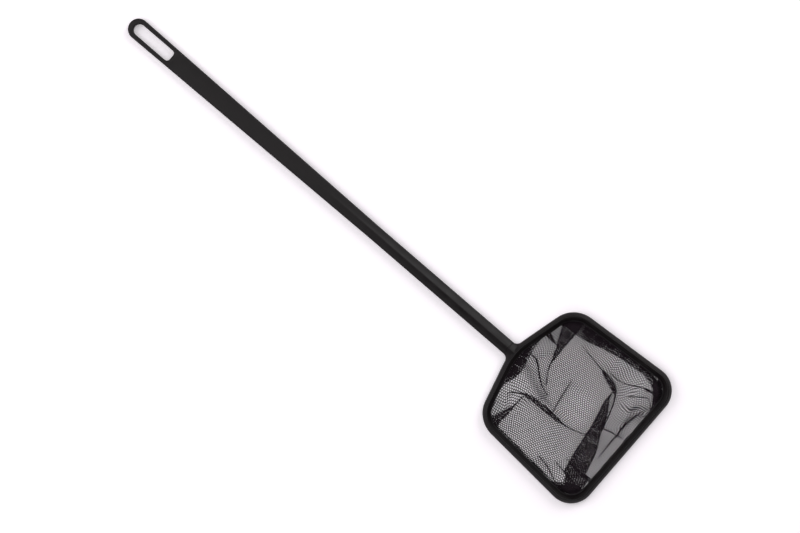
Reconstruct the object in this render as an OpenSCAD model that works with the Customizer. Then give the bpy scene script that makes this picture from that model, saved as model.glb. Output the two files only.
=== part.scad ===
// Aquarium fish net with a long moulded handle, lying on its back with its mouth up.
// X runs along the handle towards the hoop, Y across it, and Z up from the surface it lies on.
// The origin is at the middle of the overall length and width, on that surface.

/* [Overall] */
// Length from the rounded tip of the handle to the far side of the hoop
overall_l = 400; // [340:1:480]

/* [Handle] */
// Width of the handle at its rounded tip
tip_w = 13.1; // [12:0.1:16]
// Width of the straight part of the handle
grip_w = 9.2; // [8.4:0.1:11]
// Distance from the tip to where the taper ends
taper_l = 196; // [150:1:240]
// Distance from the tip to where the flat face starts to rise to a ridge
ridge_start_l = 113; // [80:1:130]
// Thickness of the handle at its tip
tip_t = 4.4; // [3.6:0.1:5]
// Radius of the rounded lower edges
foot_r = 0.5; // [0.2:0.05:0.8]
// Radius of the rounded upper edges
edge_r = 0.9; // [0.4:0.05:1.2]
// Half the width of the rounded top of the ridge
crown_w = 0.8; // [0.4:0.05:1.2]
// How much higher the middle of the flat face is than its edges
face_crown = 0.14; // [0.05:0.01:0.3]

/* [Hanging slot] */
// Length of the slot from end to end
slot_l = 29.2; // [20:0.1:36]
// Width of the slot
slot_w = 7.3; // [5:0.1:8]
// Plastic left between the tip and the round end of the slot
slot_end_t = 3.7; // [2.5:0.1:6]
// Corner radius at the square end of the slot
slot_corner_r = 2.1; // [0.5:0.1:2.4]

/* [Hoop] */
// Distance from the near corners to the far side of the hoop
hoop_side_l = 82.3; // [70:0.1:95]
// How far the near side bulges towards the handle at its middle
hoop_bulge = 12.1; // [8:0.1:15]
// Width across the sharp near corners, before they are rounded
hoop_near_w = 91.5; // [84:0.2:98]
// Width across the sharp far corners, before they are rounded
hoop_far_w = 103.5; // [100:0.2:112]
// Outside radius of the two near corners
near_r = 17.5; // [14:0.1:22]
// Outside radius of the two far corners
far_r = 15.2; // [14:0.1:20]
// Outside radius of the blunt peak in the near side
peak_r = 40; // [30:1:60]

/* [Frame] */
// Height of the frame at its crest, and of the ridge where the handle meets it
frame_h = 7.3; // [6.6:0.1:9]
// Height of the frame's upright outer wall
wall_h = 5.2; // [4.6:0.1:5.6]
// Thickness of the frame's wall
wall_t = 2.4; // [2:0.1:2.6]
// Width of the narrow flat on the crest
crest_w = 0.35; // [0.2:0.05:0.6]
// Thickness of the ledge that carries the hem
ledge_t = 1.4; // [1:0.1:1.8]
// How far the ledge reaches in from the outside
ledge_w = 4.4; // [3.6:0.1:4.6]
// Radius of the fillets between the neck and the near side
neck_r = 3.8; // [2.5:0.1:4.5]
// How far the neck runs into the frame's wall
neck_sink = 0.4; // [0.2:0.05:0.6]

/* [Tongue joint] */
// Length of the tongue that the handle is pushed onto
tongue_l = 14; // [8:0.5:20]
// Width of the tongue
tongue_w = 4.6; // [3:0.1:5.4]
// Height of the tongue
tongue_h = 2.8; // [2:0.1:3.2]
// Play between the tongue and its socket
tongue_gap = 0.08; // [0.05:0.01:0.15]

/* [Clamp ring] */
// Overall width of the rim, from its outside to the ring's inner wall
rim_w = 5; // [4.7:0.1:6]
// Play between the ring and the frame
ring_gap = 0.1; // [0.06:0.01:0.15]
// Height of the ring's upright inner wall above the hem
ring_inner_h = 2.6; // [2:0.1:3]
// How far the ring's top stands below the crest
ring_step = 0.2; // [0.1:0.05:0.4]
// How far the snap bead stands out of the ring
bead_d = 0.25; // [0.15:0.01:0.3]
// Height of the snap bead
bead_h = 0.7; // [0.5:0.05:1]

/* [Net and hem] */
// Thickness of the folded hem band
hem_t = 0.6; // [0.4:0.05:0.8]
// Width of the hem held between the ledge and the ring
hem_held_w = 2.2; // [1.6:0.1:2.3]
// Width of the sloping part of the hem inside the ring
hem_slope_w = 0.3; // [0.2:0.05:0.5]
// Width of the flat part of the hem, which the net is sewn to
hem_flat_w = 0.6; // [0.5:0.05:1]
// Thickness of the net's edge under the hem
net_edge_t = 0.8; // [0.5:0.05:0.9]
// Thickness of the bag as it lies gathered inside the hoop
bag_t = 1.5; // [1.2:0.1:2.4]
// Distance from the middle of one opening in the bag's mesh to the next
mesh_pitch = 8; // [7.6:0.1:14]
// Width of the strands between the openings
strand_w = 2.2; // [1.2:0.1:3.4]
// Thickness of the sewing thread
thread_t = 0.22; // [0.15:0.01:0.3]
// Length of the corner tacks
tack_l = 4.6; // [3:0.1:5]
// Width of the corner tacks
tack_w = 0.56; // [0.4:0.02:0.6]

/* [Hidden] */
$fn = 64;

// Overrun of cuts past the faces that they open
cut = 1;
// Flat steps in each rounded corner of the hoop, each neck fillet and the handle's round tip
corner_steps = 12;
fillet_steps = 6;
tip_steps = 24;
// Share of an edge's radius at the middle of its rounding
round_share = 0.29;

plastic = [0.13, 0.12, 0.13];
ring_plastic = [0.10, 0.10, 0.10];
mesh_grey = [0.35, 0.34, 0.35];
hem_black = [0.07, 0.06, 0.07];
thread_black = [0.16, 0.15, 0.16];

// Places along X
tip_x = -overall_l / 2;
far_x = overall_l / 2;
near_x = far_x - hoop_side_l;
peak_x = near_x - hoop_bulge;
tip_r = tip_w / 2;
grip_hw = grip_w / 2;
tip_centre_x = tip_x + tip_r;
taper_x = tip_x + taper_l;
ridge_x = tip_x + ridge_start_l;

// The hoop's sharp corners, the way round that keeps the inside on the left
corners = [
    [peak_x, 0],
    [near_x, -hoop_near_w / 2],
    [far_x, -hoop_far_w / 2],
    [far_x, hoop_far_w / 2],
    [near_x, hoop_near_w / 2],
];
corner_radii = [peak_r, near_r, far_r, far_r, near_r];
corner_count = len(corners);

function next(i) = (i + 1) % corner_count;
function before(i) = (i + corner_count - 1) % corner_count;
function heading(i) = let (d = corners[next(i)] - corners[i]) atan2(d.y, d.x);
function turn(i) = (heading(i) - heading(before(i)) + 720) % 360;
function tangent_l(i) = corner_radii[i] * tan(turn(i) / 2);
function along(i) = [cos(heading(i)), sin(heading(i))];
function inward(i) = [-sin(heading(i)), cos(heading(i))];
function side_start(i) = corners[i] + along(i) * tangent_l(i);
function side_end(i) = corners[next(i)] - along(i) * tangent_l(next(i));
function corner_centre(i) = side_start(i) + inward(i) * corner_radii[i];

// The neck's fillets start at the handle's end and touch the round of the peak
joint_x = corner_centre(0).x - sqrt(pow(peak_r + neck_r, 2) - pow(grip_hw + neck_r, 2));
fillet_turn = acos((grip_hw + neck_r) / (peak_r + neck_r));

// Heights that the ring and the hem share
ring_z = ledge_t + hem_t;
ring_out_w = wall_t + ring_gap;
bead_z = ring_z + (frame_h - ring_z - bead_h) / 2;
hem_out_w = rim_w - hem_held_w;
hem_slope_end_w = rim_w + hem_slope_w;
hem_in_w = hem_slope_end_w + hem_flat_w;
hem_flat_z = net_edge_t + hem_t;
bag_out_w = hem_in_w + hem_t;
thread_w = 2 * thread_t;
seam_w = hem_in_w - hem_flat_w / 2;

// Stations round the hoop's corners, each a corner and the direction out from its centre,
// and the place that lies a distance in from the outside at a station
stations = [for (i = [0:corner_count - 1], k = [0:corner_steps])
    [i, heading(before(i)) - 90 + turn(i) * k / corner_steps]];
function place(station, inset) = corner_centre(station[0])
    + (corner_radii[station[0]] - inset) * [cos(station[1]), sin(station[1])];

// Triangles between each section of a skin and the next, at indices that a function gives
function skin_faces(sections, points, index) = [
    for (s = sections, k = points, half = [0, 1])
        let (a = index(s, k), b = index(s, k + 1), c = index(s + 1, k + 1), d = index(s + 1, k))
        if (half == 0 ? a != b && b != c : a != d && c != d) half == 0 ? [a, b, c] : [a, c, d]
];

// Carries a section, drawn as distance in from the outside and height, all round the hoop
module round_hoop(section) {
    size = len(section);
    count = len(stations);
    polyhedron(
        points = [for (s = stations, p = section) let (flat = place(s, p.x)) [flat.x, flat.y, p.y]],
        faces = skin_faces([0:count - 1], [0:size - 1],
            function (s, k) ((count - s) % count) * size + k % size));
}

// Half width, edge height and ridge height of the handle at a place along X
function half_w(x) = x >= taper_x ? grip_hw
    : tip_r + (grip_hw - tip_r) * (x - tip_centre_x) / (taper_x - tip_centre_x);
function ridge_h(x) = tip_t + (frame_h - tip_t) * (x - tip_centre_x) / (joint_x - tip_centre_x);
function edge_h(x) = x <= ridge_x ? ridge_h(x) - face_crown
    : edge_h(ridge_x) + (wall_h - edge_h(ridge_x)) * (x - ridge_x) / (joint_x - ridge_x);

// Right half of the handle's or the neck's section, from below its middle round to its ridge
function half_section(w, e, h) = let (
    flank_w = w - edge_r, crown = crown_w / flank_w / 2,
    apex = (h - crown * e) / (1 - crown), slope = (apex - e) / flank_w) [
    [0, 0],
    [w - foot_r, 0],
    [w - foot_r * round_share, foot_r * round_share],
    [w, foot_r],
    [w, e - edge_r],
    [w - edge_r * round_share, e - edge_r * round_share],
    [flank_w, e],
    for (y = [crown_w, crown_w / 2]) [y, apex - slope * (crown_w + y * y / crown_w) / 2],
    [0, h],
];
half_size = len(half_section(tip_r, tip_t, tip_t));

// A body skinned over half sections up one side, round a half turn and back down the other.
// Each section is its middle's x, the direction out from the middle, and its half outline.
module skinned_body(sections, turn_start) {
    count = len(sections);
    middle = function (s) min(s, count - 1 - s, turn_start);
    index = function (s, k) (k % (half_size - 1) == 0 ? middle(s) : s) * half_size + k;
    polyhedron(
        points = [for (s = sections, p = s[2]) [s[0] + s[1].x * p.x, s[1].y * p.x, p.y]],
        faces = concat(
            skin_faces([0:count - 2], [0:half_size - 2], index),
            [[for (k = [half_size - 1:-1:0]) index(0, k)], [for (k = [0:half_size - 1]) index(count - 1, k)]]));
}

// The slot's outline, round at the tip end and nearly square at the other
module slot_plan() {
    first = tip_x + slot_end_t;
    last = first + slot_l;
    translate([first + slot_w / 2, 0]) circle(slot_w / 2);
    translate([first + slot_w / 2, -slot_w / 2])
        square([slot_l - slot_w / 2 - slot_corner_r, slot_w]);
    translate([last - 2 * slot_corner_r, slot_corner_r - slot_w / 2])
        square([2 * slot_corner_r, slot_w - 2 * slot_corner_r]);
    for (side = [-1, 1])
        translate([last - slot_corner_r, side * (slot_w / 2 - slot_corner_r)]) circle(slot_corner_r);
}

// The tongue, or with some play the socket that takes it
module tongue_block(play, extra) {
    translate([joint_x - tongue_l - play, -tongue_w / 2 - play, (wall_h - tongue_h) / 2 - play])
        cube([tongue_l + play + extra, tongue_w + 2 * play, tongue_h + 2 * play]);
}

// Handle: flat and rounded at the tip, rising to a ridge towards the hoop
module handle() {
    places = [joint_x, (taper_x + joint_x) / 2, taper_x, (ridge_x + taper_x) / 2, ridge_x, tip_centre_x];
    last = len(places) - 1;
    function at(x) = half_section(half_w(x), edge_h(x), ridge_h(x));
    color(plastic) difference() {
        skinned_body(concat(
            [for (x = places) [x, [0, 1], at(x)]],
            [for (k = [1:tip_steps - 1]) let (a = 90 + 180 * k / tip_steps)
                [tip_centre_x, [cos(a), sin(a)], at(tip_centre_x)]],
            [for (k = [last:-1:0]) [places[k], [0, -1], at(places[k])]]), last);
        translate([0, 0, -cut]) linear_extrude(tip_t + frame_h + cut) slot_plan();
        tongue_block(tongue_gap, cut);
    }
}

// Neck: the handle's section, flaring through a fillet on each side into the frame's wall
module neck() {
    turns = [for (k = [fillet_steps:-1:0]) fillet_turn * k / fillet_steps];
    flare = [for (a = turns) [joint_x + neck_r * sin(a), grip_hw + neck_r * (1 - cos(a))]];
    places = concat([flare[0] + [neck_sink, 0]], flare);
    last = len(places) - 1;
    skinned_body(
        [for (side = [1, -1], k = [0:last]) let (p = places[side > 0 ? k : last - k])
            [p.x, [0, side], half_section(p.y, wall_h, frame_h)]],
        last);
}

// Hoop frame: sloping outer wall, ledge for the hem, neck and tongue
module hoop_frame() {
    groove = bead_d + ring_gap;
    color(plastic) {
        round_hoop([
            [foot_r, 0],
            [ledge_w, 0],
            [ledge_w, ledge_t],
            [wall_t, ledge_t],
            [wall_t, bead_z - ring_gap],
            [wall_t - groove, bead_z + bead_d],
            [wall_t - groove, bead_z + bead_h - bead_d],
            [wall_t, bead_z + bead_h + ring_gap],
            [wall_t, frame_h],
            [wall_t - crest_w, frame_h],
            [foot_r / 2, wall_h + foot_r / 2],
            [0, wall_h - foot_r / 4],
            [0, foot_r],
        ]);
        neck();
        tongue_block(0, neck_sink);
    }
}

// Clamp ring: snaps into the frame and holds the hem down on the ledge
module clamp_ring() {
    top = frame_h - ring_step;
    inner_top = ring_z + ring_inner_h;
    color(ring_plastic) round_hoop([
        [ring_out_w, ring_z],
        [rim_w - foot_r, ring_z],
        [rim_w, ring_z + foot_r],
        [rim_w, inner_top - foot_r / 2],
        [rim_w - foot_r / 2, inner_top],
        [ring_out_w + crest_w, top],
        [ring_out_w, top],
        [ring_out_w, bead_z + bead_h],
        [ring_out_w - bead_d, bead_z + bead_h - bead_d],
        [ring_out_w - bead_d, bead_z + bead_d],
        [ring_out_w, bead_z],
    ]);
}

// Rows of six-sided openings, counted from the far side, each wholly inside the bag's solid rim
module mesh_openings() {
    rim = [for (s = stations) place(s, bag_out_w + strand_w / 2)];
    opening_r = (mesh_pitch - strand_w) / sqrt(3);
    row_step = mesh_pitch * sqrt(3) / 2;
    first_x = far_x - bag_out_w - strand_w - opening_r;
    half_count = ceil(hoop_far_w / mesh_pitch / 2);
    function is_inside(p) = min([for (k = [0:len(rim) - 1])
        cross(rim[(k + 1) % len(rim)] - rim[k], p - rim[k])]) > 0;
    for (i = [0:ceil((far_x - peak_x) / row_step)], j = [-half_count:half_count]) {
        middle = [first_x - i * row_step, (j + (i % 2) / 2) * mesh_pitch];
        if (min([for (a = [0:60:300]) is_inside(middle + opening_r * [cos(a), sin(a)]) ? 1 : 0]) == 1)
            translate(middle) circle(opening_r, $fn = 6);
    }
}

// Net bag, gathered flat inside the hoop, with its thin edge under the hem and a coarse mesh
module net_bag() {
    color(mesh_grey) difference() {
        for (step = [[hem_slope_end_w, net_edge_t], [bag_out_w, bag_t]])
            linear_extrude(step[1]) polygon([for (s = stations) place(s, step[0])]);
        translate([0, 0, -cut]) linear_extrude(bag_t + 2 * cut) mesh_openings();
    }
}

// Hem band: held on the ledge by the ring, then sloping down to the net
module hem_band() {
    color(hem_black) round_hoop([
        [hem_out_w, ledge_t],
        [rim_w, ledge_t],
        [hem_slope_end_w, net_edge_t],
        [hem_in_w, net_edge_t],
        [hem_in_w, hem_flat_z],
        [hem_slope_end_w, hem_flat_z],
        [rim_w, ring_z],
        [hem_out_w, ring_z],
    ]);
}

// Stitching that sews the net to the flat part of the hem
module hem_stitching() {
    inner = seam_w + thread_w / 2;
    color(thread_black) round_hoop([
        [inner - thread_w, hem_flat_z],
        [inner, hem_flat_z],
        [inner, hem_flat_z + thread_t],
        [inner - thread_w, hem_flat_z + thread_t],
    ]);
}

// Corner tacks: short bars of thread sewn over the stitching at the hoop's corners
module corner_tacks() {
    color(thread_black) for (i = [1:corner_count - 1]) {
        seam_r = corner_radii[i] - seam_w;
        tack_turn = tack_l / seam_r * 180 / PI;
        translate([corner_centre(i).x, corner_centre(i).y, hem_flat_z + thread_t])
            rotate([0, 0, heading(before(i)) + turn(i) / 2 - 90 - tack_turn / 2])
                rotate_extrude(angle = tack_turn)
                    translate([seam_r - tack_w / 2, 0]) square([tack_w, thread_t]);
    }
}

handle();
hoop_frame();
clamp_ring();
net_bag();
hem_band();
hem_stitching();
corner_tacks();
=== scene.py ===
import logging
import math
from collections.abc import Callable, Iterable, Sequence
from dataclasses import dataclass
from enum import Enum

import bmesh
import bpy
import numpy as np
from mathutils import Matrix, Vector


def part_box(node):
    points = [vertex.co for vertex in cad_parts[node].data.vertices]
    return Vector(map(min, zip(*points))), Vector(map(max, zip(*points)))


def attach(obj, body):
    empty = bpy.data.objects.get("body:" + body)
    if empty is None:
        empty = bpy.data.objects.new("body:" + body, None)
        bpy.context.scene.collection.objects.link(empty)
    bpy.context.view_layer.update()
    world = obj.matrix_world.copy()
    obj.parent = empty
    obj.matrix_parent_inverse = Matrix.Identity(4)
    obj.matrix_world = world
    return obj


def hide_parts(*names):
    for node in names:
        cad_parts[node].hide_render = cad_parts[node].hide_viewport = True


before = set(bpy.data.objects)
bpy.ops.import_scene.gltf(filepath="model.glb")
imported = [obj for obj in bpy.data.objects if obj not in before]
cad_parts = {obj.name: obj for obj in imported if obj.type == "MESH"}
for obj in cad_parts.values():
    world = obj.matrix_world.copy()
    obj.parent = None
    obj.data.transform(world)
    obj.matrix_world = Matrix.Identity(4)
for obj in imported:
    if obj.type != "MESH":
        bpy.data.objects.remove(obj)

LOG = logging.getLogger("fish_net")
MM = 0.001
HALF = 0.5
BODY = "root"
CLOTH_UV = "cloth"
NEAR = 1e-6
NEAR_DIGITS = 6
TOP_STEPS = 4
FOOT_STEPS = 3
CREASE_DEG = 32
Colour = tuple[float, float, float, float]
WHITE: Colour = (1, 1, 1, 1)
BLACK: Colour = (0, 0, 0, 1)


class Element(Enum):
    """What an edit-mode selection is made of."""

    VERTEX = "VERT"
    EDGE = "EDGE"
    FACE = "FACE"


class Side(Enum):
    """The side of a pleat towards which the cloth is taken up."""

    LEFT = 1
    RIGHT = -1


def deselect() -> None:
    """Leaves nothing selected and no object active."""
    bpy.ops.object.select_all(action="DESELECT")
    bpy.context.view_layer.objects.active = None


def start_point(name: str, place: Vector) -> bpy.types.Object:
    """Starts a piece as one vertex and leaves it in edit mode.

    Args:
        name: The new piece's name.
        place: Where the first vertex lies.

    Returns:
        The new object, in edit mode, with its one vertex selected.
    """
    deselect()
    bpy.ops.mesh.primitive_plane_add(size=MM, location=(0, 0, 0))
    piece = bpy.context.object
    piece.name = piece.data.name = name
    bpy.ops.object.mode_set(mode="EDIT")
    bpy.ops.mesh.select_all(action="SELECT")
    bpy.ops.mesh.merge(type="CENTER")
    bpy.ops.transform.translate(value=place)
    return piece


def draw_outline(name: str, points: list[Vector]) -> bpy.types.Object:
    """Draws a closed outline by extruding a vertex from point to point, and fills it.

    Args:
        name: The new piece's name.
        points: The outline's corners in order.

    Returns:
        The new object, in edit mode, with its one face selected.
    """
    piece = start_point(name, points[0])
    draw_on(*(there - here for here, there in zip(points, points[1:])))
    fill_outline()
    return piece


def draw_on(*offsets: Sequence[float]) -> None:
    """Extrudes the selected vertex of the piece in edit mode by one offset after another."""
    for offset in offsets:
        bpy.ops.mesh.extrude_vertices_move(TRANSFORM_OT_translate={"value": offset})


def fill_outline() -> None:
    """Fills the outline of the piece in edit mode with one face."""
    bpy.ops.mesh.select_all(action="SELECT")
    bpy.ops.mesh.edge_face_add()


def pick(piece: bpy.types.Object, element: Element, test: Callable[..., bool]) -> int:
    """Selects the vertices, edges or faces of a piece in edit mode that pass a test.

    Args:
        piece: The object in edit mode.
        element: What is selected.
        test: Says of a vertex, edge or face whether it is selected.

    Returns:
        How many were selected.
    """
    bpy.ops.mesh.select_mode(type=element.value)
    bpy.ops.mesh.select_all(action="DESELECT")
    mesh = bmesh.from_edit_mesh(piece.data)
    pool = {Element.VERTEX: mesh.verts, Element.EDGE: mesh.edges, Element.FACE: mesh.faces}[element]
    chosen = [item for item in pool if test(item)]
    for item in chosen:
        item.select_set(True)
    mesh.select_flush_mode()
    bmesh.update_edit_mesh(piece.data)
    return len(chosen)


def shift(piece: bpy.types.Object, test: Callable[..., bool], offset: Vector) -> None:
    """Moves the vertices of a piece that pass a test.

    Args:
        piece: The object in edit mode.
        test: Says of a vertex whether it moves.
        offset: How far they move.
    """
    if pick(piece, Element.VERTEX, test):
        bpy.ops.transform.translate(value=offset)


def extrude_up(height: float) -> None:
    """Extrudes the one face of the piece in edit mode upwards, and turns all faces outwards.

    Args:
        height: How far the face is extruded.
    """
    bpy.ops.mesh.extrude_region_move(TRANSFORM_OT_translate={"value": (0, 0, height)})
    bpy.ops.mesh.select_all(action="SELECT")
    bpy.ops.mesh.normals_make_consistent(inside=False)


def is_rim(edge: bmesh.types.BMEdge, height: float) -> bool:
    """Says whether an edge lies at a height where an upright side meets a level face.

    Args:
        edge: The edge.
        height: The height.

    Returns:
        Whether it is such an edge.
    """
    if len(edge.link_faces) != 2 or any(abs(v.co.z - height) > NEAR for v in edge.verts):
        return False
    tilts = sorted(abs(face.normal.z) for face in edge.link_faces)
    return tilts[0] < HALF < tilts[1]


def round_off(piece: bpy.types.Object, test: Callable[..., bool], radius: float, steps: int = 1) -> None:
    """Rounds the edges of a piece that pass a test.

    Args:
        piece: The object in edit mode.
        test: Says of an edge whether it is rounded.
        radius: The rounding's radius.
        steps: Its flat steps, 1 for a plain bevel.
    """
    if pick(piece, Element.EDGE, test):
        bpy.ops.mesh.bevel(offset=radius, segments=steps, affect="EDGES", clamp_overlap=False)


def cut_across(place: Vector, normal: Vector) -> None:
    """Adds a line of edges all round the piece in edit mode where a plane crosses it.

    Args:
        place: A point on the plane.
        normal: The plane's normal.
    """
    bpy.ops.mesh.select_all(action="SELECT")
    bpy.ops.mesh.bisect(plane_co=place, plane_no=normal)


def close_up() -> None:
    """Merges the doubles of the piece in edit mode, turns its faces outwards and leaves edit mode."""
    bpy.ops.mesh.select_mode(type=Element.VERTEX.value)
    bpy.ops.mesh.select_all(action="SELECT")
    bpy.ops.mesh.remove_doubles(threshold=NEAR)
    bpy.ops.mesh.normals_make_consistent(inside=False)
    bpy.ops.object.mode_set(mode="OBJECT")


def apply_modifier(piece: bpy.types.Object, kind: str, **settings: object) -> None:
    """Adds a modifier to a piece and applies it.

    Args:
        piece: The object that takes it.
        kind: The modifier's type.
        settings: Its settings by name.
    """
    deselect()
    bpy.context.view_layer.objects.active = piece
    piece.select_set(True)
    modifier = piece.modifiers.new(kind.lower(), kind)
    for key, value in settings.items():
        setattr(modifier, key, value)
    bpy.ops.object.modifier_apply(modifier=modifier.name)


def join(pieces: list[bpy.types.Object], name: str) -> bpy.types.Object:
    """Joins pieces into the first one.

    Args:
        pieces: The objects to join.
        name: The joined piece's name.

    Returns:
        The joined object.
    """
    deselect()
    for piece in pieces:
        piece.select_set(True)
    bpy.context.view_layer.objects.active = pieces[0]
    bpy.ops.object.join()
    pieces[0].name = pieces[0].data.name = name
    return pieces[0]


def smooth(piece: bpy.types.Object, degrees: float = CREASE_DEG) -> None:
    """Shades a piece smooth over edges flatter than an angle.

    Args:
        piece: The object in object mode.
        degrees: The angle past which an edge stays sharp.
    """
    deselect()
    bpy.context.view_layer.objects.active = piece
    piece.select_set(True)
    bpy.ops.object.shade_smooth_by_angle(angle=math.radians(degrees))


def mesh_piece(name: str, points: np.ndarray, faces: Sequence[Sequence[int]]) -> bpy.types.Object:
    """Makes a smooth-shaded object from points and faces.

    Args:
        name: The piece's name.
        points: One row of x, y and z per vertex.
        faces: Each face's vertex numbers.

    Returns:
        The new object, in the scene.
    """
    mesh = bpy.data.meshes.new(name)
    mesh.from_pydata(points.tolist(), [], faces)
    mesh.shade_smooth()
    mesh.validate()
    piece = bpy.data.objects.new(name, mesh)
    bpy.context.scene.collection.objects.link(piece)
    return piece


def through_knots(at: np.ndarray, knots: np.ndarray, values: np.ndarray) -> np.ndarray:
    """Follows a smooth curve through knots, level beyond the first and last.

    Args:
        at: Where the curve is read.
        knots: The knots' places, rising.
        values: The curve's value at each knot.

    Returns:
        The curve's values.
    """
    slopes = np.gradient(values, knots)
    at = np.clip(at, knots[0], knots[-1])
    i = np.clip(np.searchsorted(knots, at) - 1, 0, len(knots) - 2)
    span = knots[i + 1] - knots[i]
    t = (at - knots[i]) / span
    return (
        (1 + 2 * t) * (1 - t) ** 2 * values[i]
        + t * (1 - t) ** 2 * span * slopes[i]
        + t**2 * (3 - 2 * t) * values[i + 1]
        + t**2 * (t - 1) * span * slopes[i + 1]
    )


def ease(x: np.ndarray) -> np.ndarray:
    """Rises smoothly from 0 to 1 as x does."""
    x = np.clip(x, 0, 1)
    return x * x * (3 - 2 * x)


class NodeTree:
    """Adds nodes to a material or a node group, and links them by socket name."""

    def __init__(self, tree: bpy.types.NodeTree) -> None:
        """Keeps the tree that nodes are added to."""
        self.tree = tree

    def add(self, kind: str, inputs: dict | None = None, **settings: object) -> bpy.types.Node:
        """Adds a node.

        Args:
            kind: The node's type, without its ShaderNode prefix.
            inputs: Values or source sockets by input name or number.
            settings: The node's own settings.

        Returns:
            The new node.
        """
        node = self.tree.nodes.new(kind if kind.startswith("Node") else "ShaderNode" + kind)
        for key, value in settings.items():
            setattr(node, key, value)
        for key, value in (inputs or {}).items():
            if isinstance(value, bpy.types.NodeSocket):
                self.tree.links.new(value, node.inputs[key])
            else:
                node.inputs[key].default_value = value
        return node

    def link(self, source: bpy.types.NodeSocket, target: bpy.types.NodeSocket) -> None:
        """Links two sockets."""
        self.tree.links.new(source, target)

    def noise(self, vector: bpy.types.NodeSocket, scale: object, detail: float) -> bpy.types.NodeSocket:
        """Adds a noise texture and returns its value."""
        return self.add("TexNoise", {"Vector": vector, "Scale": scale, "Detail": detail}).outputs["Fac"]

    def maths(self, operation: str, a: object, b: object = 0.0) -> bpy.types.NodeSocket:
        """Adds a math node and returns its value."""
        return self.add("Math", {0: a, 1: b}, operation=operation).outputs[0]

    def mix(self, factor: object, a: object, b: object) -> bpy.types.NodeSocket:
        """Adds a colour mix, whose colours are sockets 6 and 7, and returns its colour."""
        return self.add("Mix", {"Factor": factor, 6: a, 7: b}, data_type="RGBA").outputs[2]

    def spread(self, value: bpy.types.NodeSocket, low: float, high: float,
               to_low: float = 0.0, to_high: float = 1.0) -> bpy.types.NodeSocket:
        """Adds a clamped map from one range to another and returns its value."""
        return self.add("MapRange", {"Value": value, "From Min": low, "From Max": high,
                                     "To Min": to_low, "To Max": to_high}).outputs["Result"]


def finish_group(name: str, inputs: dict[str, tuple[str, object]]) -> tuple[bpy.types.NodeTree, NodeTree]:
    """Makes an empty shader node group that puts out a colour, a roughness and a height.

    Args:
        name: The group's name.
        inputs: Each input's socket type and first value, by name.

    Returns:
        The group and the tree that adds nodes to it.
    """
    group = bpy.data.node_groups.new(name, "ShaderNodeTree")
    for key, (kind, value) in inputs.items():
        socket = group.interface.new_socket(key, in_out="INPUT", socket_type=kind)
        socket.default_value = value
    for key, kind in (("Colour", "Color"), ("Roughness", "Float"), ("Height", "Float")):
        group.interface.new_socket(key, in_out="OUTPUT", socket_type="NodeSocket" + kind)
    return group, NodeTree(group)


def moulded_grain() -> bpy.types.NodeTree:
    """Builds the group for moulded plastic: faint mottling, fine grain and rubbed scratches.

    Returns:
        The node group.
    """
    group, tree = finish_group(
        "moulded_grain",
        {
            "Vector": ("NodeSocketVector", (0, 0, 0)),
            "Colour": ("NodeSocketColor", (0.02, 0.02, 0.02, 1)),
            "Rubbed Colour": ("NodeSocketColor", (0.05, 0.05, 0.05, 1)),
            "Roughness": ("NodeSocketFloat", 0.4),
            "Wear": ("NodeSocketFloat", 0.3),
        },
    )
    given = tree.add("NodeGroupInput").outputs
    grain_share, mottle_share, rubbed_depth_share, rubbed_dulling = 0.5, 0.8, 0.5, 0.18
    mottle = tree.noise(given["Vector"], scale=140, detail=6)
    cloud = tree.noise(given["Vector"], scale=28, detail=3)
    grain = tree.noise(given["Vector"], scale=2600, detail=2)
    along = tree.add("Mapping", {"Vector": given["Vector"], "Scale": (60, 1500, 1500)}).outputs[0]
    scratch = tree.spread(tree.noise(along, scale=1, detail=2), low=0.62, high=0.75)
    patch = tree.spread(cloud, low=0.45, high=0.68)
    rubbed = tree.maths("MULTIPLY", tree.maths("MULTIPLY", scratch, patch), given["Wear"])
    tone = tree.spread(mottle, low=0.3, high=0.7, to_high=0.35)
    base = tree.mix(tone, given["Colour"], given["Rubbed Colour"])
    colour = tree.mix(rubbed, base, given["Rubbed Colour"])
    uneven = tree.spread(mottle, low=0.3, high=0.7, to_low=-0.05, to_high=0.07)
    rough = tree.maths("ADD", given["Roughness"], uneven)
    rough = tree.maths("ADD", rough, tree.maths("MULTIPLY", rubbed, rubbed_dulling))
    fine, broad = tree.maths("MULTIPLY", grain, grain_share), tree.maths("MULTIPLY", mottle, mottle_share)
    height = tree.maths("ADD", fine, broad)
    height = tree.maths("SUBTRACT", height, tree.maths("MULTIPLY", rubbed, rubbed_depth_share))
    tree.add("NodeGroupOutput", {"Colour": colour, "Roughness": rough, "Height": height})
    return group


def yarn_fibre() -> bpy.types.NodeTree:
    """Builds the group for thread and knit: twisted fibres with small changes of tone.

    Returns:
        The node group.
    """
    group, tree = finish_group(
        "yarn_fibre",
        {
            "Vector": ("NodeSocketVector", (0, 0, 0)),
            "Dark": ("NodeSocketColor", (0.01, 0.01, 0.01, 1)),
            "Light": ("NodeSocketColor", (0.05, 0.05, 0.05, 1)),
            "Fibre Scale": ("NodeSocketFloat", 6000.0),
            "Roughness": ("NodeSocketFloat", 0.7),
        },
    )
    given = tree.add("NodeGroupInput").outputs
    fibre = tree.noise(given["Vector"], scale=given["Fibre Scale"], detail=3)
    patch = tree.noise(given["Vector"], scale=90, detail=2)
    faded = tree.spread(patch, low=0.3, high=0.7, to_low=0.55)
    tone = tree.maths("MULTIPLY", tree.spread(fibre, low=0.3, high=0.7), faded)
    colour = tree.mix(tone, given["Dark"], given["Light"])
    uneven = tree.spread(fibre, low=0.3, high=0.7, to_low=-0.08, to_high=0.08)
    rough = tree.maths("ADD", given["Roughness"], uneven)
    tree.add("NodeGroupOutput", {"Colour": colour, "Roughness": rough, "Height": fibre})
    return group


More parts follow.
